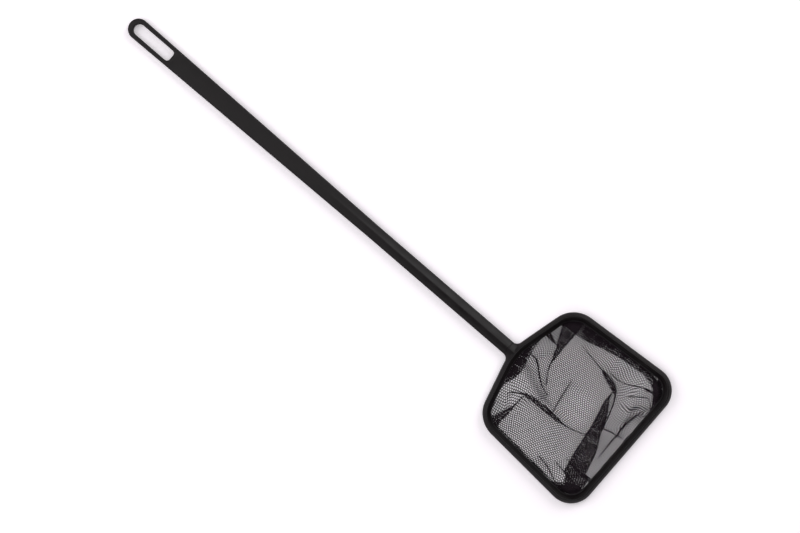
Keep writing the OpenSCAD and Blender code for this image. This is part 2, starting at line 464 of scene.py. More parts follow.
def plain_material(name: str,
                   inputs: dict[str, object]) -> tuple[bpy.types.Material, NodeTree, bpy.types.Node]:
    """Makes a material with a Principled shader.

    Args:
        name: The material's name.
        inputs: Values of the shader's own inputs, by name.

    Returns:
        The material, the tree that adds nodes to it, and the shader node.
    """
    material = bpy.data.materials.new(name)
    material.use_nodes = True
    shader = material.node_tree.nodes["Principled BSDF"]
    for key, value in inputs.items():
        shader.inputs[key].default_value = value
    return material, NodeTree(material.node_tree), shader


def with_group(tree: NodeTree, shader: bpy.types.Node, group: bpy.types.NodeTree, inputs: dict,
               bump: float, depth: float) -> None:
    """Places a finish group in a material and feeds the shader from it.

    Args:
        tree: The material's tree.
        shader: The Principled shader.
        group: The group with Colour, Roughness and Height outputs.
        inputs: The group's values by name.
        bump: The bump's strength.
        depth: The bump's depth in metres.
    """
    node = tree.add("Group", inputs, node_tree=group)
    tree.link(node.outputs["Colour"], shader.inputs["Base Color"])
    tree.link(node.outputs["Roughness"], shader.inputs["Roughness"])
    normal = tree.add("Bump", {"Strength": bump, "Distance": depth, "Height": node.outputs["Height"]})
    tree.link(normal.outputs["Normal"], shader.inputs["Normal"])


@dataclass(frozen=True)
class SatinPlastic:
    """Satin black moulded plastic."""

    name: str
    colour: Colour
    rubbed: Colour
    roughness: float
    wear: float
    specular: float = 0.25
    bump: float = 0.35
    bump_h: float = 0.05 * MM

    def material(self, grain: bpy.types.NodeTree) -> bpy.types.Material:
        """Builds the finish.

        Args:
            grain: The moulded grain group.

        Returns:
            The material.
        """
        material, tree, shader = plain_material(self.name, {"Specular IOR Level": self.specular})
        place = tree.add("TexCoord").outputs["Object"]
        with_group(tree, shader, grain, {
            "Vector": place, "Colour": self.colour, "Rubbed Colour": self.rubbed,
            "Roughness": self.roughness, "Wear": self.wear,
        }, self.bump, self.bump_h)
        return material


@dataclass(frozen=True)
class Knit:
    """Black knitted or twisted thread."""

    name: str
    dark: Colour
    light: Colour
    roughness: float
    sheen: float
    fibre_scale: float
    uv_name: str | None = None
    specular: float = 0.3
    bump: float = 0.5
    bump_h: float = 0.04 * MM

    def material(self, fibre: bpy.types.NodeTree) -> bpy.types.Material:
        """Builds the finish.

        Args:
            fibre: The yarn fibre group.

        Returns:
            The material.
        """
        material, tree, shader = plain_material(
            self.name, {"Specular IOR Level": self.specular, "Sheen Weight": self.sheen})
        if self.uv_name:
            place = tree.add("UVMap", uv_map=self.uv_name).outputs["UV"]
        else:
            place = tree.add("TexCoord").outputs["Object"]
        with_group(tree, shader, fibre, {
            "Vector": place, "Dark": self.dark, "Light": self.light,
            "Roughness": self.roughness, "Fibre Scale": self.fibre_scale,
        }, self.bump, self.bump_h)
        return material


BLACK_PLASTIC = SatinPlastic(
    "satin_black_plastic", colour=(0.0042, 0.0026, 0.0032, 1), rubbed=(0.012, 0.009, 0.01, 1),
    roughness=0.42, wear=0.5)
RING_PLASTIC = SatinPlastic(
    "ring_black_plastic", colour=(0.0036, 0.0022, 0.0028, 1), rubbed=(0.01, 0.0075, 0.0085, 1),
    roughness=0.45, wear=0.4)
NET_KNIT = Knit(
    "net_knit", dark=(0.005, 0.0025, 0.0045, 1), light=(0.022, 0.012, 0.02, 1),
    roughness=0.62, sheen=0.03, fibre_scale=5000, uv_name=CLOTH_UV, specular=0.12)
HEM_KNIT = Knit(
    "hem_knit", dark=(0.005, 0.004, 0.005, 1), light=(0.02, 0.017, 0.02, 1),
    roughness=0.8, sheen=0.1, fibre_scale=2200)
THREAD = Knit(
    "sewing_thread", dark=(0.01, 0.009, 0.01, 1), light=(0.045, 0.04, 0.045, 1),
    roughness=0.5, sheen=0.1, fibre_scale=7000)


@dataclass(frozen=True)
class Corner:
    """One rounded corner of the hoop, turned through from its start to its end."""

    centre: Vector
    radius: float
    start: float
    turn: float

    def out(self, share: float = 0.0) -> Vector:
        """Gives the direction out from the centre at a share of the turn."""
        angle = self.start + self.turn * share
        return Vector((math.cos(angle), math.sin(angle), 0))


@dataclass(frozen=True)
class HoopPlan:
    """The hoop's outline seen from above: five straight sides with rounded corners."""

    far_x: float
    side_l: float = 82.3 * MM
    bulge: float = 12.1 * MM
    near_w: float = 91.5 * MM
    far_w: float = 103.5 * MM
    near_r: float = 17.5 * MM
    far_r: float = 15.2 * MM
    peak_r: float = 40 * MM
    corner_step: float = 1.0 * MM

    @property
    def near_x(self) -> float:
        """Gives the place of the near corners along X."""
        return self.far_x - self.side_l

    def corners(self) -> list[Corner]:
        """Works out the rounded corners, the way round that keeps the inside on the left.

        Returns:
            The corners, from the peak at the handle round past -Y.
        """
        peak = Vector((self.near_x - self.bulge, 0, 0))
        near, far = Vector((self.near_x, self.near_w / 2, 0)), Vector((self.far_x, self.far_w / 2, 0))
        flip = Vector((1, -1, 1))
        points = [peak, near * flip, far * flip, far, near]
        radii = [self.peak_r, self.near_r, self.far_r, self.far_r, self.near_r]
        found = []
        for i, point in enumerate(points):
            into, away = point - points[i - 1], points[(i + 1) % len(points)] - point
            start = math.atan2(into.y, into.x)
            turn = (math.atan2(away.y, away.x) - start) % math.tau
            along = into.normalized()
            inward = Vector((-along.y, along.x, 0))
            centre = point - along * radii[i] * math.tan(turn / 2) + inward * radii[i]
            found.append(Corner(centre, radii[i], start - math.pi / 2, turn))
        return found

    def inset(self, x: np.ndarray, y: np.ndarray) -> np.ndarray:
        """Measures how far places lie in from the outline.

        Args:
            x: The places along X.
            y: The places along Y.

        Returns:
            The distance in, below zero outside.
        """
        corners = self.corners()
        depth = np.full(np.shape(x), np.inf)
        for corner in corners:
            out = corner.out()
            reach = (x - corner.centre.x) * out.x + (y - corner.centre.y) * out.y
            depth = np.minimum(depth, corner.radius - reach)
        for corner in corners:
            dx, dy = x - corner.centre.x, y - corner.centre.y
            inside = (np.arctan2(dy, dx) - corner.start) % math.tau <= corner.turn
            depth = np.where(inside, np.minimum(depth, corner.radius - np.hypot(dx, dy)), depth)
        return depth

    def stations(self, step: float) -> list[tuple[Vector, Vector]]:
        """Walks round the outline.

        Args:
            step: The longest step between stations.

        Returns:
            Each station's place on the outline and its direction out.
        """
        corners = self.corners()
        found = []
        for corner, after in zip(corners, corners[1:] + corners[:1]):
            count = math.ceil(corner.radius * corner.turn / step)
            for k in range(count):
                out = corner.out(k / count)
                found.append((corner.centre + out * corner.radius, out))
            out = corner.out(1)
            start, end = corner.centre + out * corner.radius, after.centre + after.out() * after.radius
            count = math.ceil((end - start).length / step)
            found += [(start.lerp(end, k / count), out) for k in range(count)]
        return found

    def sweep(self, name: str, section: list[tuple[float, float]],
              rounded: dict[int, float]) -> bpy.types.Object:
        """Carries a section round the hoop, spinning it at each corner and extruding it along each side.

        Args:
            name: The new piece's name.
            section: The section's corners as distance in from the outline and height.
            rounded: The radius of each section corner that is rounded, by its number.

        Returns:
            The swept ring, in object mode.
        """
        corners = self.corners()
        first = corners[0]
        out = first.out()

        def at(inset: float, height: float) -> Vector:
            """Places a corner of the section at the start of the sweep."""
            return first.centre + out * (first.radius - inset) + Vector((0, 0, height))

        places = [at(*point) for point in section]
        piece = draw_outline(name, places)
        for number, radius in rounded.items():
            place = places[number]
            pick(piece, Element.VERTEX, lambda v: (v.co - place).length < NEAR)
            bpy.ops.mesh.bevel(offset=radius, offset_type="OFFSET", segments=TOP_STEPS, affect="VERTICES")
        bpy.ops.mesh.select_all(action="SELECT")
        bpy.ops.mesh.delete(type="ONLY_FACE")
        bpy.ops.mesh.select_mode(type=Element.VERTEX.value)
        bpy.ops.mesh.select_all(action="SELECT")
        for corner, after in zip(corners, corners[1:] + corners[:1]):
            steps = math.ceil(corner.radius * corner.turn / self.corner_step)
            bpy.ops.mesh.spin(steps=steps, angle=-corner.turn, center=corner.centre, axis=(0, 0, 1))
            side = after.centre + after.out() * after.radius - corner.centre - corner.out(1) * corner.radius
            bpy.ops.mesh.extrude_region_move(TRANSFORM_OT_translate={"value": side})
        close_up()
        return piece


@dataclass(frozen=True)
class Ridge:
    """The ridge along the handle and the neck: a rounded crown on a steep spine."""

    crown_w: float = 0.5 * MM
    spine_w: float = 1.6 * MM
    foot_share: float = 0.38
    flat_share: float = 0.9

    def lines(self) -> tuple[float, ...]:
        """Gives the distances from the middle at which the face has a line of edges."""
        return 0, self.crown_w / 2, self.crown_w, self.spine_w

    def lines_across(self) -> list[float]:
        """Gives the places along Y of the lines of edges on both sides."""
        return sorted({side * line for side in (-1, 1) for line in self.lines()})

    def share(self, y: float, sharpness: float) -> float:
        """Works out the ridge's section.

        Args:
            y: The distance from the middle.
            sharpness: 0 where the face is nearly flat, 1 where the spine stands out.

        Returns:
            The share of the ridge's rise at that distance.
        """
        foot = self.flat_share + (self.foot_share - self.flat_share) * sharpness
        crown = self.crown_w / (2 * self.spine_w)
        apex = (1 - foot * crown) / (1 - crown)
        slope = (apex - foot) / self.spine_w
        if y >= self.crown_w:
            return apex - slope * y
        return 1 - slope * y * y / (2 * self.crown_w)

    def shape(self, piece: bpy.types.Object, top_z: float, edge_r: float,
              heights: Callable[[float], tuple[float, float, float]]) -> None:
        """Lowers a piece's flat top, one place along X after another, to the ridged face.

        Args:
            piece: The object in edit mode, flat on top, with its lines of edges cut.
            top_z: The height of its flat top.
            edge_r: The radius of its rounded upper edges.
            heights: Gives the edge's height, the rise to the ridge and the sharpness at a place along X.
        """
        mesh = bmesh.from_edit_mesh(piece.data)
        rounding = top_z - edge_r - NEAR
        places = sorted({round(v.co.x, NEAR_DIGITS) for v in mesh.verts if v.co.z > rounding})
        for x in places:
            edge_z, rise, sharpness = heights(x)

            def here(v: bmesh.types.BMVert, x: float = x) -> bool:
                """Says whether a vertex lies at this place along X."""
                return abs(v.co.x - x) < NEAR

            shift(piece, lambda v: here(v) and v.co.z > rounding, Vector((0, 0, edge_z - top_z)))
            if rise < NEAR:
                continue
            for y in self.lines():
                lift = rise * self.share(y, sharpness)
                shift(piece, lambda v, y=y: here(v) and abs(abs(v.co.y) - y) < NEAR
                      and abs(v.co.z - edge_z) < NEAR, Vector((0, 0, lift)))


@dataclass(frozen=True)
class Handle:
    """The long moulded handle: flat at its tip and ridged towards the hoop."""

    tip_x: float
    joint_x: float
    top_z: float
    ridge: Ridge = Ridge()
    tip_w: float = 13.1 * MM
    grip_w: float = 9.2 * MM
    taper_l: float = 196 * MM
    ridge_start_l: float = 113 * MM
    ridge_grow_l: float = 60 * MM
    tip_t: float = 4.4 * MM
    edge_z: float = 5.2 * MM
    foot_r: float = 0.45 * MM
    edge_r: float = 0.9 * MM
    joint_r: float = 0.22 * MM
    face_crown: float = 0.14 * MM
    crown_grow_l: float = 40 * MM
    slot_l: float = 29.2 * MM
    slot_w: float = 7.3 * MM
    slot_end_t: float = 3.7 * MM
    slot_corner_r: float = 2.1 * MM
    slot_edge_r: float = 0.7 * MM
    station_l: float = 10 * MM
    tip_steps: int = 32
    slot_corner_steps: int = 6

    @property
    def centre_x(self) -> float:
        """Gives the place of the round tip's centre."""
        return self.tip_x + self.tip_w / 2

    @property
    def slot_reach_x(self) -> float:
        """Gives the place of the slot's square end."""
        return self.tip_x + self.slot_end_t + self.slot_l

    def ridge_z(self, x: float) -> float:
        """Gives the height of the handle's middle at a place along X."""
        share = max(x - self.centre_x, 0) / (self.joint_x - self.centre_x)
        return self.tip_t + (self.top_z - self.tip_t) * share

    def heights(self, x: float) -> tuple[float, float, float]:
        """Works out the face at a place along X.

        Args:
            x: The place.

        Returns:
            The upper edges' height, the rise from there to the ridge, and how sharp the ridge is.
        """
        start = self.tip_x + self.ridge_start_l
        low = self.ridge_z(min(x, start)) - self.face_crown
        edge = low + (self.edge_z - low) * max(x - start, 0) / (self.joint_x - start)
        crown = float(ease((x - self.slot_reach_x) / self.crown_grow_l))
        rise = (self.ridge_z(x) - edge) * (crown if x < start else 1)
        return edge, rise, float(ease((x - start) / self.ridge_grow_l))

    def slot_cutter(self) -> bpy.types.Object:
        """Makes the block that cuts the hanging slot, round at the tip end.

        Returns:
            The cutter, in object mode.
        """
        half, last, overrun = self.slot_w / 2, self.slot_reach_x, self.top_z
        first, low = self.tip_x + self.slot_end_t + half, -overrun
        piece = start_point("slot_cutter", Vector((last, half, low)))
        draw_on((first - last, 0, 0))
        bpy.ops.mesh.spin(steps=self.tip_steps, angle=-math.pi, center=(first, 0, low), axis=(0, 0, 1))
        draw_on((last - first, 0, 0))
        fill_outline()
        extrude_up(self.top_z + 2 * overrun)
        round_off(piece, lambda e: all(v.co.x > last - NEAR for v in e.verts)
                  and abs(e.verts[0].co.z - e.verts[1].co.z) > self.top_z,
                  self.slot_corner_r, self.slot_corner_steps)
        close_up()
        return piece

    def slab(self) -> bpy.types.Object:
        """Models the handle's plan as a flat slab with the slot cut through it.

        Returns:
            The slab, in edit mode.
        """
        tip, grip = self.tip_w / 2, self.grip_w / 2
        places = [Vector((self.joint_x, grip, 0)), Vector((self.tip_x + self.taper_l, grip, 0)),
                  Vector((self.centre_x, tip, 0))]
        piece = start_point("handle_moulding", places[0])
        draw_on(*(there - here for here, there in zip(places, places[1:])))
        bpy.ops.mesh.spin(steps=self.tip_steps, angle=-math.pi, center=(self.centre_x, 0, 0), axis=(0, 0, 1))
        flip = Vector((1, -1, 1))
        draw_on(*((there - here) * flip for here, there in zip(places[::-1], places[-2::-1])))
        fill_outline()
        extrude_up(self.top_z)
        close_up()
        cutter = self.slot_cutter()
        apply_modifier(piece, "BOOLEAN", operation="DIFFERENCE", object=cutter, solver="EXACT")
        bpy.data.objects.remove(cutter)
        bpy.ops.object.mode_set(mode="EDIT")
        return piece

    def build(self) -> bpy.types.Object:
        """Models the handle.

        Returns:
            The handle, in object mode.
        """
        piece = self.slab()
        first, half = self.tip_x + self.slot_end_t - NEAR, self.slot_w / 2 + NEAR

        def at_slot(edge: bmesh.types.BMEdge) -> bool:
            """Says whether an edge borders the hanging slot."""
            return all(abs(v.co.y) < half and first < v.co.x < self.slot_reach_x + NEAR for v in edge.verts)

        def at_joint(edge: bmesh.types.BMEdge) -> bool:
            """Says whether an edge lies in the face that meets the hoop's neck."""
            return all(v.co.x > self.joint_x - NEAR for v in edge.verts)

        def outside(edge: bmesh.types.BMEdge) -> bool:
            """Says whether an edge belongs to the handle's outline."""
            return not at_slot(edge) and not at_joint(edge)

        for borders, top_r in ((outside, self.edge_r), (at_slot, self.slot_edge_r)):
            round_off(piece, lambda e: is_rim(e, self.top_z) and borders(e), top_r, TOP_STEPS)
            round_off(piece, lambda e: is_rim(e, 0) and borders(e), self.foot_r, FOOT_STEPS)
        reach = self.joint_x - self.slot_reach_x
        count = math.ceil(reach / self.station_l)
        stations = [self.slot_reach_x + reach * k / count for k in range(1, count)]
        stations += [self.centre_x, self.tip_x + self.ridge_start_l]
        for x in stations:
            cut_across(Vector((x, 0, 0)), Vector((1, 0, 0)))
        for y in self.ridge.lines_across():
            pick(piece, Element.FACE, lambda f: f.calc_center_median().x > stations[0])
            bpy.ops.mesh.bisect(plane_co=(0, y, 0), plane_no=(0, 1, 0))
        self.ridge.shape(piece, self.top_z, self.edge_r, self.heights)
        round_off(piece, at_joint, self.joint_r)
        close_up()
        smooth(piece)
        return piece


@dataclass(frozen=True)
class HoopFrame:
    """The hoop's outer moulding, with its ledge and the neck that joins the handle."""

    plan: HoopPlan
    top_z: float
    ridge: Ridge = Ridge()
    wall_h: float = 5.2 * MM
    wall_t: float = 2.4 * MM
    crest_w: float = 0.35 * MM
    ledge_t: float = 1.4 * MM
    ledge_w: float = 4.4 * MM
    foot_r: float = 0.45 * MM
    ledge_r: float = 0.2 * MM
    crest_r: float = 0.25 * MM
    shoulder_r: float = 0.6 * MM
    neck_r: float = 3.8 * MM
    neck_sink: float = 1.6 * MM
    neck_drop: float = 0.02 * MM
    grip_w: float = 9.2 * MM
    edge_r: float = 0.9 * MM
    joint_r: float = 0.22 * MM
    fillet_steps: int = 12

    @property
    def joint_x(self) -> float:
        """Gives the place of the joint line, where the neck's fillets start.

        Returns:
            The place along X.
        """
        peak = self.plan.corners()[0]
        reach, side = peak.radius + self.neck_r, self.grip_w / 2 + self.neck_r
        return peak.centre.x - math.sqrt(reach**2 - side**2)

    def ring(self) -> bpy.types.Object:
        """Models the frame's ring: sloping outer wall, crest and ledge.

        Returns:
            The ring, in object mode.
        """
        section = [
            (0, 0), (self.ledge_w, 0), (self.ledge_w, self.ledge_t), (self.wall_t, self.ledge_t),
            (self.wall_t, self.top_z), (self.wall_t - self.crest_w, self.top_z), (0, self.wall_h),
        ]
        rounded = {0: self.foot_r, 2: self.ledge_r, 5: self.crest_r, 6: self.shoulder_r}
        return self.plan.sweep("hoop_moulding", section, rounded)

    def neck(self) -> bpy.types.Object:
        """Models the neck, flaring through a fillet on each side into the ring.

        Returns:
            The neck, in object mode.
        """
        peak = self.plan.corners()[0]
        half, start = self.grip_w / 2, self.joint_x
        turn = math.acos((half + self.neck_r) / (peak.radius + self.neck_r))
        angles = [turn * k / self.fillet_steps for k in range(self.fillet_steps + 1)]
        flare = [(start + self.neck_r * math.sin(a), half + self.neck_r * (1 - math.cos(a))) for a in angles]
        end = flare[-1][0] + self.neck_sink
        flare.append((end, flare[-1][1]))
        places = [Vector((x, -y, 0)) for x, y in flare] + [Vector((x, y, 0)) for x, y in flare[::-1]]
        piece = draw_outline("neck", places)
        extrude_up(self.top_z)

        def at_joint(edge: bmesh.types.BMEdge) -> bool:
            """Says whether an edge lies in the face that meets the handle."""
            return all(v.co.x < start + NEAR for v in edge.verts)

        def at_side(edge: bmesh.types.BMEdge) -> bool:
            """Says whether an edge lies in neither end face."""
            return not at_joint(edge) and not all(v.co.x > end - NEAR for v in edge.verts)

        round_off(piece, lambda e: is_rim(e, self.top_z) and at_side(e), self.edge_r, TOP_STEPS)
        round_off(piece, lambda e: is_rim(e, 0) and at_side(e), self.foot_r, FOOT_STEPS)
        for y in self.ridge.lines_across():
            cut_across(Vector((0, y, 0)), Vector((0, 1, 0)))
        for x, _ in flare[1:-1]:
            cut_across(Vector((x, 0, 0)), Vector((1, 0, 0)))
        rise = self.top_z - self.neck_drop - self.wall_h
        self.ridge.shape(piece, self.top_z, self.edge_r, lambda x: (self.wall_h, rise, 1))
        round_off(piece, at_joint, self.joint_r)
        close_up()
        return piece

    def build(self) -> bpy.types.Object:
        """Models the frame.

        Returns:
            The ring with its neck, in object mode.
        """
        piece, neck = self.ring(), self.neck()
        apply_modifier(piece, "BOOLEAN", operation="UNION", object=neck, solver="EXACT")
        bpy.data.objects.remove(neck)
        smooth(piece)
        return piece


@dataclass(frozen=True)
class ClampRing:
    """The inner ring that snaps into the frame over the hem."""

    plan: HoopPlan
    low_z: float
    top_z: float
    out_w: float = 2.5 * MM
    rim_w: float = 5 * MM
    inner_h: float = 2.6 * MM
    crest_w: float = 0.35 * MM
    foot_r: float = 0.35 * MM
    lip_r: float = 0.6 * MM
    crest_r: float = 0.25 * MM
    back_r: float = 0.1 * MM

    def build(self) -> bpy.types.Object:
        """Models the ring, its top sloping inwards.

        Returns:
            The ring, in object mode.
        """
        section = [
            (self.out_w, self.low_z), (self.rim_w, self.low_z), (self.rim_w, self.low_z + self.inner_h),
            (self.out_w + self.crest_w, self.top_z), (self.out_w, self.top_z),
        ]
        rounded = {1: self.foot_r, 2: self.lip_r, 3: self.crest_r, 4: self.back_r}
        piece = self.plan.sweep("clamp_moulding", section, rounded)
        smooth(piece)
        return piece


@dataclass(frozen=True)
class Hem:
    """The folded band that edges the net, held under the ring, and its sewing.

    waves holds the free edge's waves: each one's share of wobble, its turn from one place round
    the hoop to the next, and where it starts, both in radians. Stitches and tacks lie a share of
    their thread's radius above the band, and are turned a little either way, in radians.
    """

    plan: HoopPlan
    band_t: float = 0.6 * MM
    out_w: float = 2.8 * MM
    rim_w: float = 5 * MM
    lip_w: float = 0.35 * MM
    held_z: float = 1.4 * MM
    flat_z: float = 0.8 * MM
    step: float = 1.2 * MM
    wobble: float = 0.05 * MM
    waves: tuple[tuple[float, float, float], ...] = ((1, 0.53, 0), (0.6, 1.37, 2), (0.4, 0.19, 1))
    stitch_l: float = 2.3 * MM
    stitch_step: float = 3.1 * MM
    stitch_turns: tuple[float, float] = (-0.07, 0.09)
    stitch_lift_share: float = 1 / 3
    thread_r: float = 0.14 * MM
    thread_sides: int = 6
    tack_l: float = 4.6 * MM
    tack_w: float = 0.9 * MM
    tack_wraps: int = 13
    tack_turn: float = 0.12
    tack_lift_share: float = 1.5
    crease_deg: float = 60

    @property
    def in_w(self) -> float:
        """Gives how far in from the outside the band's free edge lies."""
        return self.rim_w + self.lip_w

    @property
    def seam_w(self) -> float:
        """Gives how far in from the outside the stitches lie."""
        return self.in_w - self.lip_w / 2

    def band(self) -> bpy.types.Object:
        """Models the band as a flattened fold of knit whose lip bends down to the net.

        Returns:
            The band.
        """
        t, bend = self.band_t, self.band_t / 4
        low = [(self.out_w, self.held_z), (self.rim_w - 2 * bend, self.held_z),
               (self.rim_w - bend, self.held_z - bend), (self.rim_w, self.flat_z + bend),
               (self.in_w - bend, self.flat_z), (self.in_w, self.flat_z + bend)]
        high = [(self.in_w, self.flat_z + t - bend), (self.in_w - bend / 2, self.flat_z + t + bend),
                (self.rim_w + bend, self.held_z + bend), (self.rim_w, self.held_z + t - bend),
                (self.rim_w - bend, self.held_z + t), (self.out_w, self.held_z + t)]
        section = low + high
        points, size = [], len(section)
        stations = self.plan.stations(self.step)
        for s, (place, out) in enumerate(stations):
            wave = sum(share * math.sin(s * turn + start) for share, turn, start in self.waves)
            for u, z in section:
                free = max(u - self.rim_w, 0) / (self.in_w - self.rim_w)
                points.append(place - out * (u + free * wave * self.wobble) + Vector((0, 0, z)))
        count = len(stations)
        faces = []
        for s in range(count):
            here, there = s * size, (s + 1) % count * size
            for k in range(size):
                after = (k + 1) % size
                faces.append((here + k, here + after, there + after, there + k))
        return mesh_piece("hem_band_knit", np.array(points), faces)

    def stitch(self, length: float) -> bpy.types.Object:
        """Models one stitch, a short bowed thread with round ends.

        Args:
            length: How long the stitch is.

        Returns:
            The stitch, along X over the origin, in object mode.
        """
        deselect()
        bpy.ops.mesh.primitive_uv_sphere_add(
            segments=self.thread_sides, ring_count=self.thread_sides, radius=self.thread_r,
            location=(0, 0, 0), rotation=(0, math.pi / 2, 0))
        piece = bpy.context.object
        bpy.ops.object.transform_apply(rotation=True)
        bpy.ops.object.mode_set(mode="EDIT")
        reach = length / 2 - self.thread_r
        for side in (-1, 1):
            shift(piece, lambda v, side=side: v.co.x * side > NEAR, Vector((side * reach, 0, 0)))
            shift(piece, lambda v, side=side: v.co.x * side > reach, Vector((0, 0, -self.thread_r / 2)))
        bpy.ops.object.mode_set(mode="OBJECT")
        return piece

    def laid(self, model: bpy.types.Object, place: Vector, angle: float) -> bpy.types.Object:
        """Lays a copy of a stitch.

        Args:
            model: The stitch along X.
            place: Where its middle lies.
            angle: How far it is turned about Z.

        Returns:
            The copy, with its own mesh.
        """
        copy = model.copy()
        copy.data = model.data.copy()
        bpy.context.scene.collection.objects.link(copy)
        copy.location, copy.rotation_euler = place, (0, 0, angle)
        return copy

    def joined(self, copies: list[bpy.types.Object], name: str) -> bpy.types.Object:
        """Joins laid stitches into one piece whose place is in its mesh.

        Args:
            copies: The laid stitches.
            name: The piece's name.

        Returns:
            The joined piece.
        """
        piece = join(copies, name)
        bpy.ops.object.transform_apply(location=True, rotation=True, scale=True)
        smooth(piece, self.crease_deg)
        return piece

    def seam(self) -> bpy.types.Object:
        """Models the stitches that sew the net to the band.

        Returns:
            The row of stitches.
        """
        model = self.stitch(self.stitch_l)
        height = self.flat_z + self.band_t + self.stitch_lift_share * self.thread_r
        copies = [
            self.laid(model, place - out * self.seam_w + Vector((0, 0, height)),
                      math.atan2(out.x, -out.y) + self.stitch_turns[k % 2])
            for k, (place, out) in enumerate(self.plan.stations(self.stitch_step))
        ]
        bpy.data.objects.remove(model)
        return self.joined(copies, "hem_seam_thread")

    def tacks(self) -> bpy.types.Object:
        """Models the bar tack at each corner, close turns of thread over the band's edge.

        Returns:
            The four tacks.
        """
        model = self.stitch(self.tack_w)
        height = self.flat_z + self.band_t + self.tack_lift_share * self.thread_r
        copies = []
        for corner in self.plan.corners()[1:]:
            out = corner.out(HALF)
            reach, middle = corner.radius - self.seam_w, math.atan2(out.y, out.x)
            for k in range(self.tack_wraps):
                angle = middle + (k / (self.tack_wraps - 1) - HALF) * self.tack_l / reach
                place = corner.centre + reach * Vector((math.cos(angle), math.sin(angle), 0))
                turned = angle + self.tack_turn * (-1) ** k
                copies.append(self.laid(model, place + Vector((0, 0, height)), turned))
        bpy.data.objects.remove(model)
        return self.joined(copies, "corner_tack_thread")


@dataclass(frozen=True)
class Pleat:
    """A fold of the net, drawn along a curve, that takes cloth up from one side.

    knots holds the curve as rows of x, y and the width of the fold, in millimetres. The cloth is
    taken from as far away as reach. Up to ridge_w wide it is crowded into a low ridge, which takes
    up crowding halves of its width, and from layers_w on it lies in three layers. top_layers and
    low_layers are the heights of the highest and the lowest layer, in steps of layer_h.
    """

    side: Side
    knots: tuple[tuple[float, float, float], ...]
    reach: float = math.inf
    layer_h: float = 0.35 * MM
    top_layers: float = 2.0
    low_layers: float = 0.8
    rise_l: float = 2.5 * MM
    low_rise_share: float = 0.3
    fade_l: float = 6 * MM
    thin_w: float = 0.6 * MM
    ridge_w: float = 1.4 * MM
    layers_w: float = 3.0 * MM
    crowding: float = 4.0

    def fold(self, points: np.ndarray) -> np.ndarray:
        """Folds the net along the curve.

        Args:
            points: One row of x, y and z per point of the net.

        Returns:
            The points after the fold.
        """
        knots = np.array(self.knots) * MM
        start, end = knots[0, :2], knots[-1, :2]
        along = (end - start) / np.linalg.norm(end - start)
        across = np.array([-along[1], along[0]]) * self.side.value
        local = (knots[:, :2] - start) @ np.stack([along, across], 1)
        run, aside = (points[:, :2] - start) @ along, (points[:, :2] - start) @ across
        curve = through_knots(run, local[:, 0], local[:, 1])
        width = np.maximum(through_knots(run, local[:, 0], knots[:, 2]), 0)
        width = width * ease(1 + run / self.fade_l) * ease(1 + (local[-1, 0] - run) / self.fade_l)
        off, half = aside - curve, np.maximum(width / 2, NEAR)
        layered, layered_lift = self.layers(off, half)
        crowded, crowded_lift = self.ridge(off, half)
        share = ease((width - self.ridge_w) / (self.layers_w - self.ridge_w))
        moved = points.copy()
        place = curve + crowded + (layered - crowded) * share
        moved[:, :2] = start + np.outer(run, along) + np.outer(place, across)
        lift = crowded_lift + (layered_lift - crowded_lift) * share
        moved[:, 2] += self.layer_h * lift * np.clip(width / self.thin_w, 0, 1)
        return moved

    def layers(self, off: np.ndarray, half: np.ndarray) -> tuple[np.ndarray, np.ndarray]:
        """Lays the cloth in three layers: up to the crease, back under it, and on again.

        Args:
            off: How far across the curve each point of the flat cloth lies.
            half: Half the fold's width there.

        Returns:
            How far across each point comes to lie, and its height in layers.
        """
        beyond = np.maximum(off - 3 * half, 0)
        taken = 4 * half * (1 - ease(beyond / self.reach))
        place = np.where(off <= half, off, np.where(off <= 3 * half, 2 * half - off, off - taken))
        upper = self.top_layers * np.exp(-np.maximum(-half - off, 0) / self.rise_l)
        drop = self.top_layers - self.low_layers
        middle = self.top_layers - drop * ease((off - half) / (2 * half))
        lower = self.low_layers * np.exp(-beyond / (self.low_rise_share * self.rise_l))
        return place, np.where(off <= half, upper, np.where(off <= 3 * half, middle, lower))

    def ridge(self, off: np.ndarray, half: np.ndarray) -> tuple[np.ndarray, np.ndarray]:
        """Crowds the cloth into a ridge.

        Args:
            off: How far across the curve each point of the flat cloth lies.
            half: Half the fold's width there.

        Returns:
            How far across each point comes to lie, and its height in layers.
        """
        span = (2 + self.crowding) * half
        share = (off + half) / span
        back = ease(np.maximum(off + half - span, 0) / self.reach)
        place = off - self.crowding * half * ease(share) * (1 - back)
        return place, self.top_layers * np.sin(np.pi * np.clip(share, 0, 1)) ** 2


